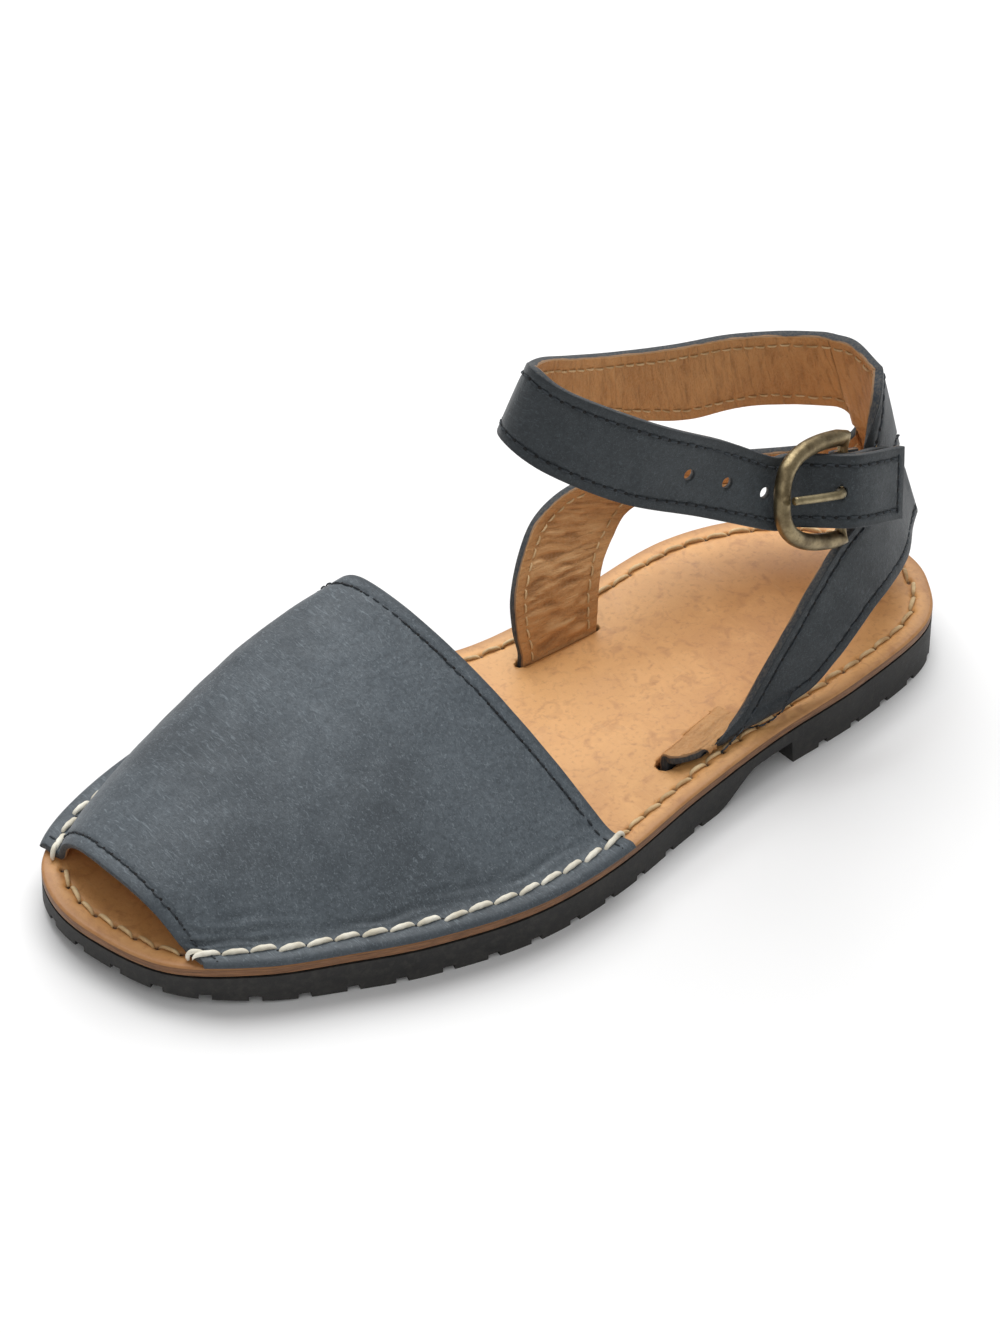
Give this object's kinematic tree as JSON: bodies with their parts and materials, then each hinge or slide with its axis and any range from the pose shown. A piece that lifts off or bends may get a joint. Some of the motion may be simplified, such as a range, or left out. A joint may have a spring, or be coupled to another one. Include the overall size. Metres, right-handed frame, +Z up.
{
  "type": "sandal",
  "caption": "Flat open-toed leather sandal for the left foot, with a wide stitched vamp, slotted side arms and a ring round the ankle closed by a side buckle.",
  "frame": {"origin": "on the floor, in the middle of the flat spot under the heel", "axes": "+X along the sole to the toe, +Y to the outer side of the left foot, +Z up from the floor"},
  "size_m": [0.2448, 0.103, 0.1179],
  "materials": {
    "outsole": "matt black rubber",
    "insole": "natural tan leather, waxed",
    "vamp": "grey-blue oiled nubuck",
    "ankle_upper": "grey-blue oiled nubuck outside, tan lining inside",
    "buckle_strap": "dark leather",
    "buckle_frame": "old brass",
    "buckle_prong": "old brass"
  },
  "bodies": {
    "root": {"outsole": "outsole", "insole": "insole", "vamp": "vamp", "ankle_upper": "ankle_upper", "buckle_strap": "buckle_strap", "buckle_frame": "buckle_frame", "buckle_prong": "buckle_prong"}
  },
  "joints": []
}
